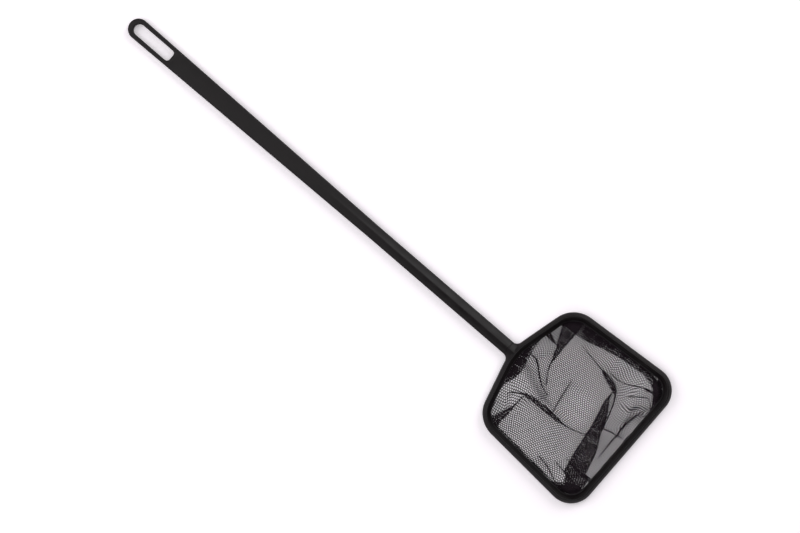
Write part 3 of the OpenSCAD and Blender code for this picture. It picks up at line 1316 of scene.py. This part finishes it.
@dataclass(frozen=True)
class NetBag:
    """The knitted bag, lying gathered in the hoop: hexagonal mesh, folded along its pleats.

    Its edge lies edge_inset in from the hoop's outline, under the ring. Holes are worked out up
    to hidden_w past it. One is kept if more than held_corners of its six corners lie inside, and
    left out if the folding stretched it past torn_share pitches. slack_waves are the slack cloth's
    waves: how far each turns in a millimetre along X and along Y, and where it starts, in radians.
    cross_x and cross_y make one that runs both ways.
    """

    plan: HoopPlan
    pleats: tuple[Pleat, ...]
    pitch: float = 1.33 * MM
    strand_w: float = 0.47 * MM
    strand_t: float = 0.34 * MM
    thinnest_share: float = 0.12
    lattice_turn: float = 2.0
    rest_z: float = 0.75 * MM
    edge_inset: float = 5.15 * MM
    hidden_w: float = 32 * MM
    held_corners: int = 2
    torn_share: float = 4.0
    calm_w: float = 2.5 * MM
    calm_start_share: float = 0.3
    edge_z: float = 0.6 * MM
    edge_share: float = 0.2
    wave_h: float = 0.45 * MM
    slack_waves: tuple[tuple[float, float, float], ...] = ((0.21, 0.13, 0), (-0.09, 0.29, 1))
    cross_x: tuple[float, float] = (0.37, 2)
    cross_y: float = 0.33
    cross_share: float = 0.7
    cut_l: float = 300 * MM
    rows_share: float = 1.6
    slope_share: float = 0.1
    centre: tuple[float, float] = (158 * MM, 0)

    def folded(self, flat: np.ndarray) -> np.ndarray:
        """Carries points of the flat cloth to where they lie in the hoop.

        Args:
            flat: One row of x and y per point.

        Returns:
            One row of x, y and z per point.
        """
        points = np.column_stack([flat, np.full(len(flat), self.rest_z)])
        for pleat in self.pleats:
            points = pleat.fold(points)
        lift = points[:, 2] - self.rest_z + self.slack(points[:, 0] / MM, points[:, 1] / MM)
        depth = self.plan.inset(points[:, 0], points[:, 1])
        calm = ease((depth - self.edge_inset) / self.calm_w - self.calm_start_share)
        level = self.edge_z + (self.rest_z - self.edge_z) * calm
        points[:, 2] = level + lift * (self.edge_share + (1 - self.edge_share) * calm)
        return points

    def slack(self, x: np.ndarray, y: np.ndarray) -> np.ndarray:
        """Works out the gentle waves of the slack cloth, from zero to wave_h high.

        Args:
            x: The places along X, in millimetres.
            y: The places along Y, in millimetres.

        Returns:
            The waves' height at each place.
        """
        wave = sum(np.sin(x * turn_x + y * turn_y + start) for turn_x, turn_y, start in self.slack_waves)
        turn_x, start = self.cross_x
        wave = wave + self.cross_share * np.sin(x * turn_x + start) * np.sin(y * self.cross_y)
        highest = len(self.slack_waves) + self.cross_share
        return self.wave_h * (wave / highest + 1) / 2

    def normals(self, flat: np.ndarray) -> np.ndarray:
        """Works out the folded cloth's direction out at points of the flat cloth.

        Args:
            flat: One row of x and y per point.

        Returns:
            One row of x, y and z per point, of length one.
        """
        step = self.slope_share * self.pitch
        across = self.folded(flat + [step, 0]) - self.folded(flat - [step, 0])
        along = self.folded(flat + [0, step]) - self.folded(flat - [0, step])
        normal = np.cross(across, along)
        return normal / np.maximum(np.linalg.norm(normal, axis=1), NEAR**2)[:, None]

    def build(self) -> tuple[bpy.types.Object, tuple[float, float], float]:
        """Models the net's threads, one six-sided hole at a time.

        Returns:
            The net, the width and length of the cloth in it laid flat, and its threads' flat area.
        """
        turn = math.radians(self.lattice_turn)
        a, b = (self.pitch * np.array([math.cos(t), math.sin(t)]) for t in (turn, turn + math.pi / 3))
        count = int(self.rows_share * self.cut_l / self.pitch)
        rows, columns = np.meshgrid(np.arange(count), np.arange(count), indexing="ij")
        along_a, along_b = (rows - count // 2)[..., None] * a, (columns - count // 2)[..., None] * b
        holes = np.array(self.centre) + along_a + along_b
        ups, downs = holes + (a + b) / 3, holes + (2 * b - a) / 3
        flat = np.concatenate([ups.reshape(-1, 2), downs.reshape(-1, 2)])
        points, normal = self.folded(flat), self.normals(flat)
        depth = self.plan.inset(points[:, 0], points[:, 1])
        points[:, :2] += self.inward(points) * np.maximum(self.edge_inset - depth, 0)[:, None]

        def up(row: np.ndarray, column: np.ndarray) -> np.ndarray:
            """Gives the number of the corner between a hole and the next two."""
            return row * count + column

        def down(row: np.ndarray, column: np.ndarray) -> np.ndarray:
            """Gives the number of the corner after it, going round the hole."""
            return count * count + up(row, column)

        inner = (slice(1, -1), slice(1, -1))
        row, column = rows[inner].ravel(), columns[inner].ravel()
        ring = np.stack([
            up(row, column), down(row, column), up(row - 1, column),
            down(row, column - 1), up(row, column - 1), down(row + 1, column - 1),
        ], 1)
        in_cloth = (np.abs(holes[inner].reshape(-1, 2) - self.centre) < self.cut_l / 2).all(1)
        near = in_cloth & (depth[ring].min(1) > self.edge_inset - self.hidden_w)
        held = (depth[ring] > self.edge_inset).sum(1) > self.held_corners
        whole = np.ptp(points[ring][:, :, :2], axis=1).max(1) < self.torn_share * self.pitch
        kept = self.connected(row, column, near, count) & held & whole
        LOG.info("net: %d holes", kept.sum())
        return self.threads(ring[kept], flat, points, normal)

    def inward(self, points: np.ndarray) -> np.ndarray:
        """Finds the direction from each point straight into the hoop.

        Args:
            points: One row of x, y and z per point.

        Returns:
            One row of x and y per point.
        """
        x, y, step = points[:, 0], points[:, 1], 0.01 * MM
        across = self.plan.inset(x + step, y) - self.plan.inset(x - step, y)
        along = self.plan.inset(x, y + step) - self.plan.inset(x, y - step)
        return np.stack([across, along], 1) / (2 * step)

    def connected(self, row: np.ndarray, column: np.ndarray, near: np.ndarray, count: int) -> np.ndarray:
        """Keeps the holes whose cloth reaches the middle one, in the hoop or under its ring.

        Args:
            row: Each hole's row.
            column: Each hole's place in its row.
            near: Whether each hole lies inside the hoop or close to it.
            count: How many holes a row has.

        Returns:
            Whether each hole is kept.
        """
        inside = np.zeros((count, count), bool)
        inside[row, column] = near
        kept = np.zeros_like(inside)
        kept[count // 2, count // 2] = inside[count // 2, count // 2]
        size = 0
        while kept.sum() > size:
            size = kept.sum()
            grown = kept.copy()
            for step in ((1, 0), (-1, 0), (0, 1), (0, -1), (1, -1), (-1, 1)):
                grown |= np.roll(kept, step, (0, 1))
            kept = grown & inside
        return kept[row, column]

    def hole_share(self, corners: np.ndarray) -> np.ndarray:
        """Works out how open each hole is, so that threads keep their width in crowded cloth.

        Args:
            corners: Each hole's six corners.

        Returns:
            The share of the way from each hole's middle to its corners that is open.
        """
        x, y = corners[:, :, 0], corners[:, :, 1]
        x1, y1 = np.roll(x, -1, 1), np.roll(y, -1, 1)
        area = np.abs((x * y1 - x1 * y).sum(1)) / 2
        girth = np.hypot(x1 - x, y1 - y).sum(1)
        reach = 2 * area / np.maximum(girth, NEAR)
        return np.maximum(1 - self.strand_w / 2 / np.maximum(reach, NEAR), self.thinnest_share)

    def threads(self, ring: np.ndarray, flat: np.ndarray, points: np.ndarray,
                normal: np.ndarray) -> tuple[bpy.types.Object, tuple[float, float], float]:
        """Skins the threads round the kept holes.

        Args:
            ring: Each hole's six corners, by number.
            flat: The corners' places on the flat cloth.
            points: The corners' places in the hoop.
            normal: The cloth's direction out at each corner.

        Returns:
            The net, the width and length of the cloth in it laid flat, and its threads' flat area.
        """
        used, local = np.unique(ring, return_inverse=True)
        local = local.reshape(ring.shape)
        n, cells = len(used), len(ring)
        share = self.hole_share(points[ring])[:, None, None]
        middle, flat_middle = points[ring].mean(1, keepdims=True), flat[ring].mean(1, keepdims=True)
        rim = middle + (points[ring] - middle) * share
        flat_rim = flat_middle + (flat[ring] - flat_middle) * share
        rise = normal[used] * self.strand_t / 2
        places = np.concatenate([points[used] + rise, points[used] - rise, rim.reshape(-1, 3)])
        flats = np.concatenate([flat[used], flat[used], flat_rim.reshape(-1, 2)])
        hole = 2 * n + np.arange(cells * 6).reshape(cells, 6)
        after = np.roll(np.arange(6), -1)
        upper = np.stack([local, local[:, after], hole[:, after], hole], -1).reshape(-1, 4)
        lower = np.stack([local[:, after] + n, local + n, hole, hole[:, after]], -1).reshape(-1, 4)
        here, there = local.ravel(), local[:, after].ravel()
        pairs = set(zip(here.tolist(), there.tolist()))
        edge = [(s, e) for s, e in pairs if (e, s) not in pairs]
        rim_faces = [(e, s, s + n, e + n) for s, e in sorted(edge)]
        piece = mesh_piece("net_bag_knit", places, upper.tolist() + lower.tolist() + rim_faces)
        layer = piece.data.uv_layers.new(name=CLOTH_UV)
        corners = np.empty(len(piece.data.loops), int)
        piece.data.loops.foreach_get("vertex_index", corners)
        layer.data.foreach_set("uv", flats[corners].ravel())
        spans = np.ptp(flat[used], axis=0)
        hole_area = self.pitch**2 * math.sqrt(3) / 2
        size = spans * math.sqrt(cells * hole_area / spans.prod())
        area = hole_area * float((1 - share**2).sum())
        LOG.info("net: flat %.1f by %.1f mm, threads %.0f mm2", *(size / MM), area / MM**2)
        return piece, (float(size[0]), float(size[1])), area


def net_pleats() -> tuple[Pleat, ...]:
    """Lists the net's pleats in the order in which they are folded, from the middle out.

    Returns:
        The pleats.
    """
    left, right = Side.LEFT, Side.RIGHT
    low, wall = {"layer_h": 0.3 * MM}, {"layer_h": 0.22 * MM, "rise_l": 1.2 * MM}
    soft = {"layer_h": 0.1 * MM, "ridge_w": 20 * MM, "layers_w": 30 * MM, "crowding": 0.8}
    return (
        # The dart from the middle to the upper side, near the handle
        Pleat(left, (
            (137.2, -3, 0), (135.1, -0.3, 1.1), (132, 4.3, 1.5), (130.1, 9.1, 1.7), (129.1, 14, 2.8),
            (127.8, 18.9, 4.9), (126.9, 23.8, 6.7), (125.8, 29.3, 9.1), (124.9, 34.1, 11),
            (123.8, 39, 11.6), (122.6, 51.2, 12.2))),
        # The fold from the dart to the near upper corner
        Pleat(left, (
            (128.1, 20.1, 0), (124.4, 20.6, 2.1), (120.8, 21.2, 3.2), (117.1, 22.4, 4.3),
            (113.4, 24.7, 5.5), (108.6, 28.1, 6.1)), 45 * MM),
        # The curl near the handle
        Pleat(right, (
            (114, 2.4, 0.9), (116.5, 5.2, 1.5), (119.5, 6.1, 2.2), (122.9, 5, 2.3), (126.9, 1.8, 2.3),
            (131.1, -1.8, 2.3), (135.4, -4.5, 2), (139, -5.7, 1.5), (142.1, -6.3, 0)), 30 * MM, **low),
        # Slack cloth beside the curl, as one low wide ridge
        Pleat(right, (
            (113.4, 2.4, 0), (118.9, -0.6, 5.5), (125, -4, 7.3), (131.7, -7, 6.7), (139, -8.8, 4.9),
            (146.4, -9.5, 1.8), (150, -9.8, 0)), 30 * MM, **soft),
        # The long lens across the middle
        Pleat(right, (
            (117.7, -21, 0), (120.4, -18.9, 1.2), (124.7, -16.8, 1.7), (129.3, -15.2, 2.3),
            (133, -14.4, 3.3), (139, -14, 3.8), (148.2, -13.6, 3.8), (154.3, -13.8, 3.2),
            (160.4, -13.4, 2.1), (166.5, -12.2, 1.4), (172.6, -10.1, 1.3), (176.2, -8.5, 0)), 80 * MM),
        # The wide wedge that opens to the far lower corner
        Pleat(left, (
            (169.7, 22.6, 0), (170, 19.5, 2), (170.7, 15.2, 3), (171.8, 12.2, 4.6), (174.5, 6.1, 6.6),
            (176.4, 0, 7.6), (178, -6.1, 9), (180, -12.2, 11.3), (181.6, -18.3, 12.8),
            (182.8, -24.4, 13.3), (184.4, -32.3, 13.7), (187.2, -39, 13.7), (190.3, -45.1, 13.7),
            (194.5, -53.7, 13.7))),
        # The bow above the middle
        Pleat(left, (
            (136.6, 30.5, 0), (140.3, 29.9, 1), (145.1, 29, 1.2), (150, 28.2, 1.3), (154.3, 27.4, 1.8),
            (158.6, 26.6, 3), (162.8, 25.4, 4.4), (167.1, 23.9, 4.5), (170.1, 22.4, 3.3),
            (172.7, 20.1, 2.4), (174.4, 17.1, 2.4), (175.9, 13.7, 2.4), (177.2, 9.8, 2.3),
            (178.4, 5.8, 1.8), (179.5, 2.4, 1), (180.1, 0.6, 0)), 70 * MM),
        # The dart from the middle to the lower side
        Pleat(right, (
            (130.1, -15.2, 0), (130.1, -18.9, 1.2), (129.9, -22.6, 1.8), (129.5, -26.2, 2.6),
            (128.8, -29.9, 3.8), (127.8, -33.5, 5.1), (127, -37.8, 6.6), (126.1, -42.7, 7.9),
            (125, -50, 8.5)), 60 * MM),
        # The crease in the middle panel
        Pleat(left, (
            (146.4, 10.4, 0), (147, 6.1, 1.2), (147.9, 0, 1.3), (148.8, -5.5, 1.3), (149.7, -9.8, 1),
            (150, -12.8, 0)), 20 * MM, **low),
        # The crease down the far strip
        Pleat(left, (
            (191.5, 25, 0), (190.6, 21.3, 1.1), (189.7, 17.7, 1.8), (188.4, 14, 2.2), (187.8, 10.4, 2.3),
            (188.3, 6.7, 2.1), (189.4, 3, 2.4), (188.8, -1.2, 2), (189.2, -6.7, 1.6), (189.4, -12.2, 1.1),
            (189.5, -16.5, 0)), 30 * MM, **low),
        # The short crease that crosses it
        Pleat(left, (
            (178.1, -0.3, 0), (179.9, 0.2, 1.1), (182.3, 1, 1.9), (186, 2.1, 2.2), (189.1, 2.7, 2.2),
            (191.5, 3, 0.9), (193.9, 3.4, 0)), 45 * MM, **low),
        # The crease in the far upper corner
        Pleat(left, (
            (178.4, 23.8, 0), (180.2, 25.9, 1.1), (182.6, 28.2, 1.5), (185.4, 30.2, 1.6),
            (187.8, 31.8, 1.8), (190, 31.7, 1.8), (192.1, 30.2, 1.8), (194.5, 28.1, 2.1),
            (198.8, 24.4, 2.4)), 30 * MM, **low),
        # The fold along the upper side's far half
        Pleat(left, (
            (160.4, 29.3, 0), (163.4, 28.8, 1), (167.1, 28.8, 1.4), (170.8, 29.5, 1.5),
            (174.4, 30.9, 1.6), (177.5, 32.6, 1.9), (181.1, 34.6, 2.4), (184.8, 35.7, 2.4),
            (188.4, 36.5, 2.3), (192.7, 37.4, 2.1), (198.8, 38.4, 2)), 50 * MM, **low),
        # Cloth gathered along the upper side, in two pleats
        Pleat(left, (
            (110.4, 35.4, 9.8), (118.9, 37.8, 10.4), (125, 37.9, 10.4), (133, 38.1, 10.1), (139, 39, 9.3),
            (143.3, 39.8, 8.2), (148.2, 40.6, 7.3), (154.3, 41.3, 5.9), (160.4, 42.1, 4.9),
            (166.5, 42.4, 4.6), (172.6, 42.8, 4.5), (179.9, 42.8, 4.6), (184.2, 42, 5.5),
            (187.8, 41.2, 6.7), (192.1, 40.2, 7.9), (198.8, 39.6, 8.5)), **wall),
        Pleat(left, (
            (110.4, 37.8, 7.3), (123.8, 40.2, 7.9), (133, 40.2, 7.9), (142.1, 41.2, 6.3),
            (149.4, 42.1, 4.9), (157.3, 43.3, 3.7), (172.6, 44.4, 2.7), (184.8, 43.9, 3),
            (198.8, 42.7, 3.7)), **wall),
        # Cloth gathered in the far upper corner, in two pleats
        Pleat(left, (
            (181.1, 45.7, 1.2), (186, 42.1, 3.7), (190.9, 37.5, 4.6), (194.2, 32.3, 4.3),
            (196.1, 27.4, 3), (197.3, 22.6, 1.8), (198.2, 16.5, 0)), **wall),
        Pleat(left, (
            (182.3, 48.2, 1.2), (187.8, 43.9, 3.7), (192.7, 39, 4.3), (195.8, 32.9, 3.7),
            (197.6, 26.8, 2.4), (198.8, 20.1, 0)), **wall),
        # The band across the far lower corner
        Pleat(right, (
            (173.8, -28.1, 0), (178.7, -28.5, 1), (183.6, -28.9, 1.5), (187.2, -29, 2.1),
            (190.3, -29, 2.8), (194.5, -29, 3.3), (200, -29, 3.4)), 15 * MM, **low),
        # The fold below the band
        Pleat(right, (
            (170.1, -33.4, 0), (174.4, -34.3, 1), (178.7, -35.1, 1.5), (183, -35.9, 1.6),
            (187.2, -36.6, 2.1), (190.9, -37.5, 3), (194.5, -39, 4.9),
            (200, -40.9, 6.7)), 20 * MM, **low),
        # The crease along the lower side
        Pleat(right, (
            (160.4, -37.9, 0), (163.4, -38.2, 1.2), (167.1, -38.7, 1.5), (170.8, -39.8, 1.6),
            (174.4, -41.3, 1.8), (179.3, -43.5, 1.8)), 30 * MM, **low),
        # Cloth gathered along the lower side
        Pleat(right, (
            (120.1, -37.8, 1.2), (126.2, -40.4, 2), (133, -41, 2.1), (139.7, -41.5, 2.1),
            (160.4, -43, 2.1), (172.6, -43.9, 2.1), (184.8, -44.9, 2.1)), **low),
        # Cloth gathered in the far lower corner, in two pleats
        Pleat(right, (
            (170.1, -48.8, 0), (176.2, -46.3, 1.8), (180.5, -43.9, 3.9), (184.8, -41.8, 6.1),
            (189.7, -40.2, 7.3), (194.5, -39.3, 7.9), (200, -38.4, 7.9)), **wall),
        Pleat(right, (
            (172.6, -50, 0), (178.7, -47, 2.4), (183.6, -44.2, 5.2), (188.4, -42.4, 6.7),
            (193.3, -41.2, 7.3), (200, -40.2, 7.3)), **wall),
        # Cloth gathered along the handle's end, in two pleats
        Pleat(right, (
            (119.5, 37.8, 2.4), (116.8, 30.5, 3), (114.7, 23.2, 4), (113.4, 15.9, 5.5), (113.3, 9.1, 6.4),
            (114, 2.4, 8.5), (114.8, -4.9, 9.8), (115.1, -11, 8.5), (114.7, -15.9, 5.8), (115.1, -22, 4),
            (117, -29.3, 4), (119.5, -35.4, 4), (124.1, -42.7, 4)), **wall),
        Pleat(right, (
            (118.3, 34.1, 2.4), (115.6, 26.8, 3), (113.4, 19.5, 3.7), (112.5, 12.2, 4.9),
            (112.8, 4.9, 6.1), (113.7, -2.4, 7.9), (114.2, -8.5, 7.3), (113.7, -14.6, 4.9),
            (113.7, -20.7, 2.7), (115.6, -28.1, 2.7), (118.3, -34.8, 2.7), (122.6, -42.1, 2.7)), **wall),
    )


@dataclass(frozen=True)
class SoftLight:
    """A square soft light, placed by its direction from the object in the picture."""

    name: str
    across: float
    up: float
    high: float
    power: float
    size: float = 1.2
    reach: float = 1.7


@dataclass(frozen=True)
class Studio:
    """The pale floor, the soft lights and the camera."""

    soft_lights: tuple[SoftLight, ...] = (
        SoftLight("key_light", across=0.8, up=0.8, high=0.9, power=14),
        SoftLight("left_light", across=-1.0, up=0.1, high=1.0, power=12),
        SoftLight("upper_left_light", across=-0.8, up=0.8, high=0.7, power=4),
        SoftLight("fill_light", across=0.0, up=-1.0, high=0.9, power=6),
        SoftLight("overhead_light", across=0.0, up=0.05, high=1.0, power=5),
    )
    world_strength: float = 0.07
    floor_glow: float = 0.2
    floor_seen: Colour = (1.0, 0.94, 0.995, 1)
    floor_lit: Colour = (0.8, 0.8, 0.8, 1)
    floor_size: float = 6.0
    aim: tuple[float, float] = (21.6 * MM, -5.56 * MM)
    roll: float = 40.75
    distance: float = 1800 * MM
    view_w: float = 487.3 * MM
    sensor: float = 36.0
    rim_z: float = 4 * MM
    clip: tuple[float, float] = (0.01, 50)

    def picture_axes(self) -> tuple[Vector, Vector]:
        """Gives the directions that point right and up in the picture."""
        turn = math.radians(self.roll)
        return Vector((math.cos(turn), math.sin(turn), 0)), Vector((-math.sin(turn), math.cos(turn), 0))

    def camera(self) -> None:
        """Places the camera straight above, turned as the photograph is."""
        data = bpy.data.cameras.new("camera")
        camera = bpy.data.objects.new("camera", data)
        bpy.context.scene.collection.objects.link(camera)
        camera.location = (*self.aim, self.distance)
        camera.rotation_euler = (0, 0, math.radians(self.roll))
        data.sensor_width = self.sensor
        data.lens = self.sensor * (self.distance - self.rim_z) / self.view_w
        data.clip_start, data.clip_end = self.clip
        bpy.context.scene.camera = camera

    def floor(self) -> bpy.types.Object:
        """Lays the floor, which looks white and still takes the object's shadow.

        Returns:
            The floor.
        """
        deselect()
        bpy.ops.mesh.primitive_plane_add(size=self.floor_size, location=(0, 0, 0))
        floor = bpy.context.object
        floor.name = "floor"
        material, tree, shader = plain_material("pale_floor", {
            "Roughness": 1.0, "Specular IOR Level": 0.0, "Emission Strength": self.floor_glow,
        })
        rays = tree.add("LightPath").outputs
        seen = tree.maths("MAXIMUM", rays["Is Camera Ray"], rays["Is Glossy Ray"])
        seen = tree.maths("MAXIMUM", seen, rays["Is Transmission Ray"])
        tree.link(tree.mix(seen, self.floor_lit, self.floor_seen), shader.inputs["Base Color"])
        tree.link(tree.mix(seen, BLACK, WHITE), shader.inputs["Emission Color"])
        floor.data.materials.append(material)
        return floor

    def lights(self) -> None:
        """Adds the soft lights and the dim grey world."""
        side, up = self.picture_axes()
        middle = Vector((*self.aim, 0))
        for light in self.soft_lights:
            towards = (side * light.across + up * light.up + Vector((0, 0, light.high))).normalized()
            data = bpy.data.lights.new(light.name, "AREA")
            data.shape, data.size, data.energy = "SQUARE", light.size, light.power
            lamp = bpy.data.objects.new(light.name, data)
            bpy.context.scene.collection.objects.link(lamp)
            lamp.location = middle + towards * light.reach
            lamp.rotation_euler = towards.to_track_quat("Z", "Y").to_euler()
        world = bpy.data.worlds.new("studio_world")
        world.use_nodes = True
        background = world.node_tree.nodes["Background"].inputs
        background["Color"].default_value = WHITE
        background["Strength"].default_value = self.world_strength
        bpy.context.scene.world = world


def dress(piece: bpy.types.Object, material: bpy.types.Material, slot: str, *nodes: str) -> None:
    """Gives a piece its finish and its body, and hides the nodes that it stands for.

    Args:
        piece: The finished piece.
        material: Its finish.
        slot: The record's material slot; not used.
        nodes: The nodes that it replaces.
    """
    piece.data.materials.clear()
    piece.data.materials.append(material)
    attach(piece, BODY)
    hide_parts(*nodes)
    LOG.info("%s: %d faces", piece.name, len(piece.data.polygons))


def main() -> None:
    """Builds the net around the frame."""
    logging.basicConfig(level=logging.INFO, format="%(message)s")
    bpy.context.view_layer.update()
    scene = bpy.context.scene
    scene.view_settings.view_transform = "Standard"
    grain, fibre = moulded_grain(), yarn_fibre()
    black, thread = BLACK_PLASTIC.material(grain), THREAD.material(fibre)
    low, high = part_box("hoop_frame")
    plan = HoopPlan(far_x=high.x)
    hoop = HoopFrame(plan, top_z=high.z)
    handle = Handle(tip_x=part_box("handle")[0].x, joint_x=hoop.joint_x, top_z=high.z)
    ring_low, ring_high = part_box("clamp_ring")
    ring = ClampRing(plan, ring_low.z, ring_high.z)
    hem = Hem(plan)
    dress(handle.build(), black, "black_plastic", "handle")
    dress(hoop.build(), black, "black_plastic", "hoop_frame")
    dress(ring.build(), RING_PLASTIC.material(grain), "ring_plastic", "clamp_ring")
    dress(hem.band(), HEM_KNIT.material(fibre), "hem_tape", "hem_band")
    dress(hem.seam(), thread, "sewing_thread", "hem_stitching")
    dress(hem.tacks(), thread, "sewing_thread", "corner_tacks")
    net, cut, threads = NetBag(plan, net_pleats()).build()
    dress(net, NET_KNIT.material(fibre), "net_mesh", "net_bag")

    studio = Studio()
    studio.camera()
    studio.lights()
    studio.floor()
    bpy.context.view_layer.update()


if __name__ == "__main__":
    main()
